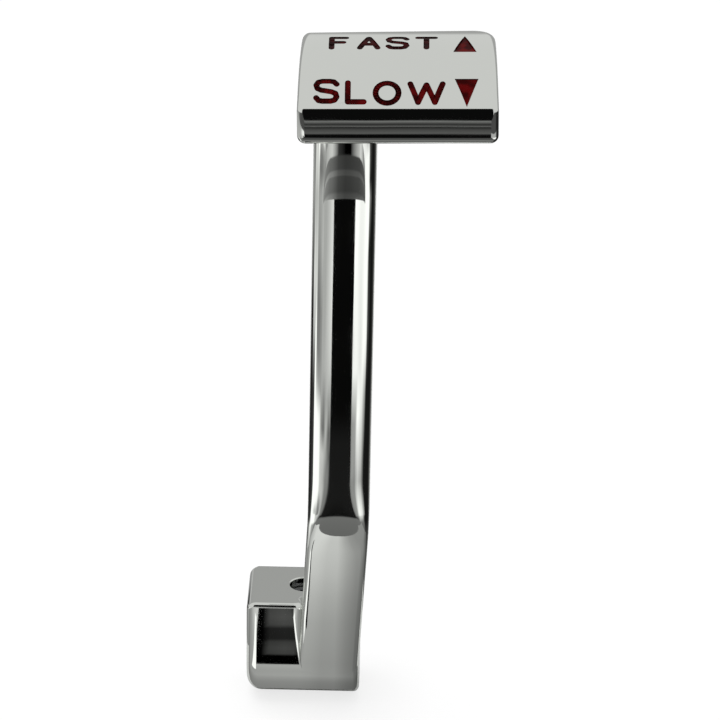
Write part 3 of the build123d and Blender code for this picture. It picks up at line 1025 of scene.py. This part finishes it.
def thread_shade_and_wear_group():
    """Brighter metal where the thread's crests rub, and painted shade that darkens the metal down in its roots."""
    flt = "NodeSocketFloat"
    tree, given, out = group(
        "thread_shade_and_wear", [("Position", "NodeSocketVector", None), ("Root Radius", flt, 0.0037),
                        ("Crest Radius", flt, 0.00395), ("Patch Size", flt, 900.0)], [("Wear Over Shade", flt)])
    n, link = tree.nodes, tree.links.new
    split, flat = n.new("ShaderNodeSeparateXYZ"), n.new("ShaderNodeCombineXYZ")
    link(given.outputs["Position"], split.inputs[0])
    link(split.outputs[0], flat.inputs[0])
    link(split.outputs[1], flat.inputs[1])
    far = n.new("ShaderNodeVectorMath"); far.operation = "LENGTH"
    link(flat.outputs[0], far.inputs[0])
    near = n.new("ShaderNodeMapRange")
    link(far.outputs["Value"], near.inputs["Value"])
    link(given.outputs["Root Radius"], near.inputs["From Min"])
    link(given.outputs["Crest Radius"], near.inputs["From Max"])
    patch = n.new("ShaderNodeTexNoise")
    link(given.outputs["Position"], patch.inputs["Vector"])
    link(given.outputs["Patch Size"], patch.inputs["Scale"])
    patch.inputs["Detail"].default_value = 4.0
    wear_over_shade = n.new("ShaderNodeMath"); wear_over_shade.operation = "MULTIPLY"
    link(near.outputs["Result"], wear_over_shade.inputs[0])
    link(patch.outputs[0], wear_over_shade.inputs[1])
    link(wear_over_shade.outputs[0], out.inputs["Wear Over Shade"])
    return tree


class LEVER_OT_clamp_screw(bpy.types.Operator):
    """Makes the clamp screw with its thread, cup point and hexagon socket"""
    bl_idname = "lever.clamp_screw"
    bl_label = "Clamp screw"

    def execute(self, context):
        chosen = context.scene.clamp_screw_settings
        dark = steel("screw_steel", (0.13, 0.13, 0.135), 0.24, 0.15, 4e-7, 1e-5)
        n, link = dark.node_tree.nodes, dark.node_tree.links.new
        where, shade_and_wear, blend = (n.new(kind) for kind in ("ShaderNodeTexCoord", "ShaderNodeGroup", "ShaderNodeMix"))
        shade_and_wear.node_tree = once("thread_shade_and_wear", thread_shade_and_wear_group)
        shade_and_wear.inputs["Root Radius"].default_value = (SCREW_RADIUS - 0.25) * MM
        shade_and_wear.inputs["Crest Radius"].default_value = SCREW_RADIUS * MM
        shade_and_wear.inputs["Patch Size"].default_value = 900.0
        link(where.outputs["Object"], shade_and_wear.inputs["Position"])
        blend.data_type = "RGBA"
        shaded_root, rubbed = (one for one in blend.inputs if one.type == "RGBA")
        # The dark root colour is painted shade in the thread's roots; the lighter crest colour, laid on in patches, is
        # wear.
        shaded_root.default_value, rubbed.default_value = (0.105, 0.105, 0.112, 1), (0.36, 0.355, 0.345, 1)
        link(shade_and_wear.outputs["Wear Over Shade"], blend.inputs[0])
        link(next(one for one in blend.outputs if one.type == "RGBA"), n["Principled BSDF"].inputs["Base Color"])

        pitch = chosen.thread_pitch / MM
        screw = put("clamp_screw_threaded", screw_blank(pitch))
        tree = thread_tree()
        maker = screw.modifiers.new("thread", "NODES")
        maker.node_group = tree
        sizes = {"Crest Radius": SCREW_RADIUS * MM, "Pitch": chosen.thread_pitch, "Depth": chosen.thread_depth,
                 "Crest Share": 0.14, "Root Share": 0.2, "Steel": dark}
        for item in tree.interface.items_tree:
            if item.in_out == "INPUT" and item.name in sizes:
                maker[item.identifier] = sizes[item.name]
        baked(screw)
        screw.data.shade_smooth()
        screw.data.set_sharp_from_angle(angle=math.radians(28))
        if not any(slot == dark for slot in screw.data.materials):
            raise RuntimeError("the clamp screw lost its steel")
        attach(screw, "screw")
        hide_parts("clamp_screw")
        return {"FINISHED"}


# ---- studio ----

def floor_white():
    """White floor: it takes shadows, shows white to the camera and a softer tone to polished surfaces."""
    mat, n, link = new_material("floor_white")
    n.clear()
    out = n.new("ShaderNodeOutputMaterial")
    paint = n.new("ShaderNodeBsdfDiffuse"); paint.inputs["Color"].default_value = (0.9, 0.9, 0.9, 1)
    lit = n.new("ShaderNodeEmission"); lit.inputs["Strength"].default_value = 1.0
    mix = n.new("ShaderNodeMixShader")
    path = n.new("ShaderNodeLightPath")
    tone = n.new("ShaderNodeMix"); tone.data_type = "RGBA"
    seen, mirrored = (one for one in tone.inputs if one.type == "RGBA")
    seen.default_value, mirrored.default_value = (0.95, 0.95, 0.95, 1), (0.6, 0.6, 0.6, 1)
    link(path.outputs["Is Glossy Ray"], tone.inputs[0])
    link(next(one for one in tone.outputs if one.type == "RGBA"), paint.inputs["Color"])
    share = n.new("ShaderNodeMath"); share.operation = "MULTIPLY"; share.inputs[1].default_value = 0.75
    link(path.outputs["Is Camera Ray"], share.inputs[0])
    link(share.outputs[0], mix.inputs[0])
    link(paint.outputs[0], mix.inputs[1])
    link(lit.outputs[0], mix.inputs[2])
    link(mix.outputs[0], out.inputs["Surface"])
    return mat


def panel_light():
    """Light panels that only polished surfaces see; each point of a panel has its own brightness."""
    mat, n, link = new_material("panel_light")
    n.clear()
    out = n.new("ShaderNodeOutputMaterial")
    light = n.new("ShaderNodeEmission")
    level = n.new("ShaderNodeAttribute"); level.attribute_name = "level"
    link(level.outputs["Fac"], light.inputs["Strength"])
    link(light.outputs[0], out.inputs["Surface"])
    return mat


def panel(name, rows, light):
    """A panel from rows of (point in millimetres, brightness)."""
    wide = len(rows[0])
    verts = [point for row in rows for point, _ in row]
    faces = [(j * wide + i, j * wide + i + 1, (j + 1) * wide + i + 1, (j + 1) * wide + i)
             for j in range(len(rows) - 1) for i in range(wide - 1)]
    made = put(name, new_mesh(name, verts, faces))
    made.data.attributes.new("level", "FLOAT", "POINT").data.foreach_set(
        "value", [level for row in rows for _, level in row])
    made.data.materials.append(light)
    made.visible_camera = made.visible_diffuse = made.visible_shadow = made.visible_transmission = False
    return made


# Sheets of card on the floor round the lever: turns from the front towards the outboard side in degrees, then
# distances in millimetres, each with its brightness at every turn.
FLOOR_SHEETS = {
    "front_dark": ([-12.5, 12.5], [
        (56, [0.16] * 2), (150, [0.19] * 2), (165, [0.003] * 2), (180, [0.012] * 2), (230, [0.012] * 2),
        (260, [0.003] * 2), (585, [0.003] * 2), (596, [0.01] * 2), (605, [0.05] * 2), (622, [0.13] * 2),
        (645, [0.105] * 2), (696, [0.085] * 2), (723, [0.067] * 2), (754, [0.045] * 2), (780, [0.02] * 2),
        (795, [0.02] * 2), (822, [0.16] * 2), (850, [0.08] * 2), (900, [0.027] * 2), (949, [0.07] * 2),
        (1000, [0.134] * 2), (1060, [0.22] * 2), (1100, [0.16] * 2), (1140, [0.04] * 2), (1500, [0.05] * 2)]),
    "left_sheet": ([-160, -151, -149, -119, -117, -98, -95, -86, -84, -69, -56, -50, -47, -32, -18, -15, -12.5], [
        (56, [0.4, 0.4, 0.3, 0.3, 0.3, 0.3, 0.3, 0.3, 0.3, 0.2, 0.17, 0.16, 0.16, 0.16, 0.16, 0.16, 0.15]),
        (150, [0.4, 0.3, 0.02, 0.02, 0.5, 0.9, 1.3, 1.3, 0.8, 0.5, 0.4, 0.3, 0.22, 0.2, 0.2, 0.2, 0.2]),
        (168, [0.4, 0.3, 0.02, 0.02, 0.03, 0.1, 1.35, 1.35, 1.35, 1.3, 1.3, 0.8, 0.9, 0.3, 0.03, 0.02, 0.01]),
        (200, [0.4, 0.3, 0.02, 0.02, 0.03, 0.07, 1.35, 1.35, 1.35, 1.35, 1.3, 0.75, 0.7, 0.6, 0.3, 0.3, 0.01]),
        (217, [0.4, 0.3, 0.02, 0.02, 0.03, 0.07, 1.35, 1.35, 1.35, 1.35, 1.3, 0.8, 0.75, 0.7, 0.45, 0.2, 0.05]),
        (240, [0.5, 0.4, 0.02, 0.02, 0.03, 0.07, 1.35, 1.35, 1.35, 1.3, 1.2, 0.6, 0.35, 0.15, 0.6, 0.15, 0.2]),
        (270, [0.5, 0.5, 0.02, 0.03, 0.3, 0.2, 1.35, 1.35, 0.6, 0.43, 0.45, 0.4, 0.5, 0.3, 0.5, 0.4, 0.5]),
        (300, [0.5, 0.5, 0.02, 0.03, 0.7, 0.6, 1.35, 1.35, 0.3, 0.25, 0.35, 0.4, 0.5, 0.55, 0.6, 0.7, 0.75]),
        (345, [0.5, 0.5, 0.1, 0.15, 1.0, 0.8, 0.9, 0.9, 0.25, 0.22, 0.33, 0.38, 0.5, 0.5, 0.66, 0.8, 0.95]),
        (420, [0.5, 0.5, 0.4, 0.4, 0.6, 0.6, 0.7, 0.7, 0.4, 0.4, 0.55, 0.62, 0.5, 0.5, 0.65, 0.85, 1.05]),
        (500, [0.5, 0.5, 0.5, 0.5, 0.5, 0.5, 0.55, 0.55, 0.5, 0.5, 0.53, 0.55, 0.5, 0.5, 0.6, 0.8, 0.95]),
        (560, [0.4, 0.4, 0.4, 0.4, 0.45, 0.45, 0.5, 0.5, 0.5, 0.5, 0.7, 0.8, 0.9, 1.2, 1.2, 1.1, 1.0]),
        (650, [0.4, 0.4, 0.4, 0.4, 0.4, 0.4, 0.45, 0.45, 0.4, 0.4, 0.5, 0.6, 0.7, 1.1, 1.1, 0.7, 0.4]),
        (662, [0.4, 0.4, 0.3, 0.3, 0.3, 0.3, 0.3, 0.3, 0.2, 0.1, 0.09, 0.08, 0.08, 0.08, 0.08, 0.08, 0.08]),
        (1500, [0.4, 0.4, 0.3, 0.3, 0.3, 0.3, 0.3, 0.3, 0.2, 0.1, 0.09, 0.08, 0.08, 0.08, 0.08, 0.08, 0.08])]),
    "right_sheet": ([12.5, 14, 23, 32, 41, 50, 59, 68, 77, 82, 86, 105, 122, 134, 150], [
        (56, [0.15, 0.16, 0.16, 0.16, 0.16, 0.16, 0.16, 0.16, 0.15, 0.15, 0.1, 0.1, 0.1, 0.2, 0.3]),
        (150, [0.2, 0.2, 0.2, 0.2, 0.2, 0.2, 0.2, 0.2, 0.1, 0.02, 0.01, 0.01, 0.01, 0.1, 0.3]),
        (168, [0.02, 0.05, 0.1, 0.3, 0.5, 0.3, 0.3, 0.2, 0.02, 0.01, 0.01, 0.01, 0.01, 0.1, 0.3]),
        (200, [0.3, 0.4, 0.33, 0.6, 0.8, 0.7, 0.65, 0.3, 0.02, 0.01, 0.01, 0.01, 0.01, 0.1, 0.3]),
        (250, [0.35, 0.4, 0.5, 1.35, 1.3, 1.1, 1.0, 0.6, 0.4, 0.1, 0.01, 0.01, 0.01, 0.05, 0.2]),
        (300, [1.1, 1.2, 1.2, 1.1, 1.0, 1.1, 1.3, 1.3, 1.3, 0.9, 0.1, 0.01, 0.01, 0.05, 0.15]),
        (380, [1.25, 1.25, 1.2, 1.1, 1.1, 1.2, 1.3, 1.35, 1.3, 0.6, 0.02, 0.01, 0.01, 0.06, 0.15]),
        (430, [1.35, 1.35, 1.2, 1.15, 1.15, 1.2, 1.3, 1.35, 1.35, 1.3, 0.3, 0.01, 0.02, 0.1, 0.2]),
        (520, [1.35, 1.35, 1.3, 1.2, 1.2, 1.2, 1.3, 1.35, 1.35, 1.3, 0.3, 0.01, 0.02, 0.1, 0.2]),
        (540, [0.5, 0.5, 0.5, 0.5, 0.5, 0.5, 0.5, 0.5, 0.4, 0.2, 0.05, 0.01, 0.02, 0.1, 0.15]),
        (640, [0.5, 0.5, 0.5, 0.5, 0.5, 0.5, 0.5, 0.5, 0.4, 0.2, 0.05, 0.01, 0.02, 0.08, 0.1]),
        (650, [0.08, 0.08, 0.08, 0.08, 0.08, 0.08, 0.08, 0.08, 0.05, 0.03, 0.02, 0.01, 0.02, 0.08, 0.1]),
        (1500, [0.08, 0.08, 0.08, 0.08, 0.08, 0.08, 0.08, 0.08, 0.05, 0.03, 0.02, 0.01, 0.02, 0.08, 0.1])]),
    "back_dark": ([170, 192], [(60, [0.01] * 2), (1500, [0.01] * 2)]),
}
# An upright card in front of the neck, ahead of the lever's own box: turns to each side, each with a share of the
# rows' brightness and a share of their glint, then rows (how far up the card, brightness, glint).
NECK_CARD_Y = -36.0
NECK_TURNS = [-70, -60, -56, -30, -16, 0, 12, 36, 42, 60, 70]
NECK_SHARES = [6.2, 6.0, 5.5, 3.6, 1.5, 1.0, 1.1, 1.6, 1.8, 2.3, 2.45]
NECK_GLINTS = [0.32, 0.35, 0.5, 0.75, 0.04, 0.0, 0.0, 0.8, 0.8, 0.25, 0.28]
NECK_ROWS = [(0.0, 0.075, 0), (0.067, 0.07, 0), (0.124, 0.045, 0), (0.352, 0.05, 0), (0.371, 0.08, 0),
             (0.438, 0.075, 0), (0.467, 0.045, 0), (0.667, 0.045, 0), (0.695, 0.0, 1), (0.771, 0.0, 1), (1.0, 0.0, 1)]
NECK_CARD_MIDDLE, NECK_CARD_SPREAD, NECK_CARD_DRAW_IN = 9.95, 15.0, 1.6
NECK_CARD_FOOT, NECK_CARD_TOP = (135.2, 3.2), (144.95, 7.1)   # height, and how fast it falls towards the sides
# The card ahead of the plate's foot: its height, its points across, and (how far back, brightness) of its rows.
PLATE_FOOT_HEIGHT, PLATE_FOOT_SIDES = 152.0, (-14, 20, 58)
PLATE_FOOT_ROWS = ((-33.6, 0.08), (-35.5, 0.12), (-37.5, 0.27), (-41, 0.1), (-48, 0.085), (-62, 0.06))
# The dark card before the hub: rows (how far back, brightness, how far its outboard side is drawn in), then
# (across, share of the brightness).
HUB_DARK_ROWS = [(-33.4, 0.0, 0.0), (-38.4, 0.0, 0.0), (-39.6, 0.06, 0.0), (-43.0, 0.07, 0.0), (-46.6, 0.055, 0.0),
                 (-48.6, 0.018, 0.1), (-54.9, 0.02, 0.5), (-57.2, 0.075, 0.9), (-62.0, 0.09, 1.6), (-66.0, 0.08, 2.4),
                 (-71.0, 0.06, 3.6)]
HUB_DARK_ACROSS = [(-14.3, 0.0), (-12.4, 0.02), (-10.4, 0.8), (-6.0, 1.0), (-3.4, 0.9), (-1.6, 0.2), (-0.8, 0.0)]
# The light card on the floor inboard of the hub: its brightness, its sides and its ends.
HUB_LIGHT_LEVEL, HUB_LIGHT_SIDES, HUB_LIGHT_ENDS = 1.3, (-30, -14.8), (-62, -24)
# The card at the arm's foot: (distance, brightness) of its rows, then (across, share of the brightness).
FOOT_CARD_ROWS = [(7, 0.22), (12, 0.27), (17, 0.37), (22, 0.36), (36, 0.42), (45, 0.5), (53, 0.6), (62, 0.68),
                  (78, 0.72)]
FOOT_CARD_ACROSS = [(-80, 0.8), (-20, 1.1), (-8, 1.18), (-1.0, 1.18), (1.5, 1.12), (4.5, 1.0), (8.5, 1.0),
                    (11.8, 0.74), (15.3, 0.55), (20, 0.47), (120, 0.47)]
# Its rows are straight up to the first distance. Beyond it they bow out to the sides, the front one from the
# second distance to the third at most.
FOOT_CARD_STRAIGHT, FOOT_CARD_REACH, FOOT_CARD_FURTHEST, FOOT_CARD_BOW = 60.0, 78.0, 128.0, 0.085
FLOOR_CENTRE = (9.0, -18.0)
FLOOR_GAP = 0.02                                  # from the hub's lowest line down to the floor
SHEET_RISE, FOOT_CARD_RISE, HUB_LIGHT_RISE, HUB_DARK_RISE = 1.2, 1.3, 1.4, 1.6   # over the floor
CAMERA_LENS, CAMERA_SENSOR = 197.85, 36.0
CAMERA_AT = (27.56306958, -964.13526372, 516.46110565)
CAMERA_RIGHT, CAMERA_UP = (0.99968743, 0.02033882, 0.01453896), (-0.02156332, 0.40715054, 0.91310649)


def finer(turns, levels, steps=4):
    """The same turns and levels with more points between them."""
    out = []
    for (a, u), (b, v) in zip(zip(turns, levels), zip(turns[1:], levels[1:])):
        count = max(1, int(abs(b - a) / steps))
        out += [(a + (b - a) * k / count, u + (v - u) * k / count) for k in range(count)]
    return out + [(turns[-1], levels[-1])]


def around(centre, distance, turn, height):
    """A point at a distance and turn round a centre, turned from the front."""
    a = math.radians(turn)
    return centre[0] + distance * math.sin(a), centre[1] - distance * math.cos(a), height


def before_neck(turn, up):
    """A point of the card in front of the neck: turn to the side in degrees, share of the way up the card."""
    aside = math.tan(math.radians(turn))
    further = math.hypot(1.0, aside) - 1.0
    foot, top = (height - fall * further for height, fall in (NECK_CARD_FOOT, NECK_CARD_TOP))
    across = NECK_CARD_MIDDLE + aside * (NECK_CARD_SPREAD - NECK_CARD_DRAW_IN * abs(aside))
    return across, NECK_CARD_Y, foot + (top - foot) * up


def bowed(across, distance):
    """How far back a point of the card at the arm's foot lies: its front edge bows out to the sides."""
    if distance < FOOT_CARD_STRAIGHT:
        return -distance
    edge = min(FOOT_CARD_FURTHEST, FOOT_CARD_REACH + FOOT_CARD_BOW * max(0.0, abs(across - 9) - 1) ** 2)
    return -(distance + (edge - FOOT_CARD_REACH) * (distance - FOOT_CARD_STRAIGHT)
             / (FOOT_CARD_REACH - FOOT_CARD_STRAIGHT))


class LEVER_OT_studio(bpy.types.Operator):
    """Builds the white floor, the light panels and dark cards, the lamp and the camera"""
    bl_idname = "lever.studio"
    bl_label = "Studio"

    def execute(self, context):
        chosen = context.scene.studio_settings
        scene = context.scene
        scene.view_settings.view_transform = "Standard"
        half = chosen.floor_size / 2
        z = -HUB_RADIUS - FLOOR_GAP
        floor = put("floor", new_mesh("floor", [(-half, -half, z * MM), (half, -half, z * MM), (half, half, z * MM),
                                                (-half, half, z * MM)], [(0, 1, 2, 3)], 1.0))
        floor.data.materials.append(floor_white())

        light = panel_light()
        for name, (turns, rows) in FLOOR_SHEETS.items():
            panel(name, [[(around(FLOOR_CENTRE, distance, turn, z + SHEET_RISE), level)
                          for turn, level in finer(turns, levels)] for distance, levels in rows], light)
        panel("neck_card", [[(before_neck(turn, up), level) for turn, level in finer(NECK_TURNS, [
            base * share + lit * spark for share, spark in zip(NECK_SHARES, NECK_GLINTS)])]
                            for up, base, lit in NECK_ROWS], light)
        panel("plate_foot_card", [[((x, y, PLATE_FOOT_HEIGHT), level) for x in PLATE_FOOT_SIDES]
                                  for y, level in PLATE_FOOT_ROWS], light)
        inboard = HUB_DARK_ACROSS[0][0]
        outboard = HUB_DARK_ACROSS[-1][0]
        panel("hub_dark_card", [[((x + drawn * (x - inboard) / (inboard - outboard), y, z + HUB_DARK_RISE),
                                  level * share) for x, share in HUB_DARK_ACROSS]
                                for y, level, drawn in HUB_DARK_ROWS], light)
        panel("hub_light_card", [[((x, y, z + HUB_LIGHT_RISE), HUB_LIGHT_LEVEL) for x in HUB_LIGHT_SIDES]
                                 for y in HUB_LIGHT_ENDS], light)
        across = finer(*zip(*FOOT_CARD_ACROSS), 1)
        panel("foot_card", [[((x, bowed(x, y), z + FOOT_CARD_RISE), level * share) for x, share in across]
                            for y, level in FOOT_CARD_ROWS], light)
        panel("back_card", [[((x, 520, height), level) for x in (-900, 0, 900)]
                            for height, level in ((40, 0.4), (300, 0.42), (360, 0.72), (440, 0.74))], light)
        panel("front_card", [[((x, y, height), 0.004) for x in (-560, 0, 560)]
                             for y, height in ((-700, 60), (-560, 930))], light)

        world = bpy.data.worlds.new("studio_air")
        scene.world = world
        world.use_nodes = True
        n, link = world.node_tree.nodes, world.node_tree.links.new
        n.clear()
        out = n.new("ShaderNodeOutputWorld")
        seen = n.new("ShaderNodeBackground"); seen.inputs["Strength"].default_value = 1.0
        air = n.new("ShaderNodeBackground"); air.inputs["Strength"].default_value = chosen.air_level
        for one in (seen, air):
            one.inputs["Color"].default_value = (1.0, 1.0, 1.0, 1.0)
        mix = n.new("ShaderNodeMixShader")
        path = n.new("ShaderNodeLightPath")
        link(path.outputs["Is Camera Ray"], mix.inputs[0])
        link(air.outputs[0], mix.inputs[1])
        link(seen.outputs[0], mix.inputs[2])
        link(mix.outputs[0], out.inputs["Surface"])

        lamp = bpy.data.lights.new("overhead_lamp", "AREA")
        lamp.shape, lamp.size, lamp.size_y, lamp.energy = "RECTANGLE", 1.2, 1.2, chosen.lamp_power
        lamp_at = bpy.data.objects.new("overhead_lamp", lamp)
        lamp_at.location = (-0.3, 0.1, 1.4)
        lamp_at.rotation_euler = (Vector((0, 0, 0.05)) - Vector(lamp_at.location)).to_track_quat("-Z", "Y").to_euler()
        lamp_at.visible_glossy = False
        scene.collection.objects.link(lamp_at)

        eye = bpy.data.cameras.new("camera")
        eye.lens, eye.sensor_width, eye.sensor_fit = CAMERA_LENS, CAMERA_SENSOR, "AUTO"
        eye.clip_start, eye.clip_end = 0.05, 50.0
        camera = bpy.data.objects.new("camera", eye)
        right, upward = Vector(CAMERA_RIGHT), Vector(CAMERA_UP)
        back = right.cross(upward)
        place = Matrix((right, upward, back)).transposed().to_4x4()
        place.translation = Vector(CAMERA_AT) * MM
        camera.matrix_world = place
        scene.collection.objects.link(camera)
        scene.camera = camera
        return {"FINISHED"}


class LEVER_PT_panel(bpy.types.Panel):
    """Lists the lever's pieces in the sidebar"""
    bl_idname = "LEVER_PT_panel"
    bl_label = "Throttle Lever"
    bl_space_type = "VIEW_3D"
    bl_region_type = "UI"
    bl_category = "Throttle Lever"

    def draw(self, context):
        for step in STEPS:
            self.layout.operator(step.bl_idname)


SETTINGS = {"hand_plate_settings": HandPlateSettings, "lever_settings": LeverSettings,
            "clamp_screw_settings": ClampScrewSettings, "studio_settings": StudioSettings}
STEPS = (LEVER_OT_hand_plate, LEVER_OT_arm, LEVER_OT_clamp_screw, LEVER_OT_studio)


def register():
    for kind in (*SETTINGS.values(), *STEPS, LEVER_PT_panel):
        bpy.utils.register_class(kind)
    for name, kind in SETTINGS.items():
        setattr(bpy.types.Scene, name, bpy.props.PointerProperty(type=kind))


def unregister():
    for name in SETTINGS:
        delattr(bpy.types.Scene, name)
    for kind in reversed((*SETTINGS.values(), *STEPS, LEVER_PT_panel)):
        bpy.utils.unregister_class(kind)


def main():
    register()
    bpy.ops.lever.hand_plate()
    bpy.ops.lever.arm()
    bpy.ops.lever.clamp_screw()
    bpy.ops.lever.studio()


if __name__ == "__main__":
    main()
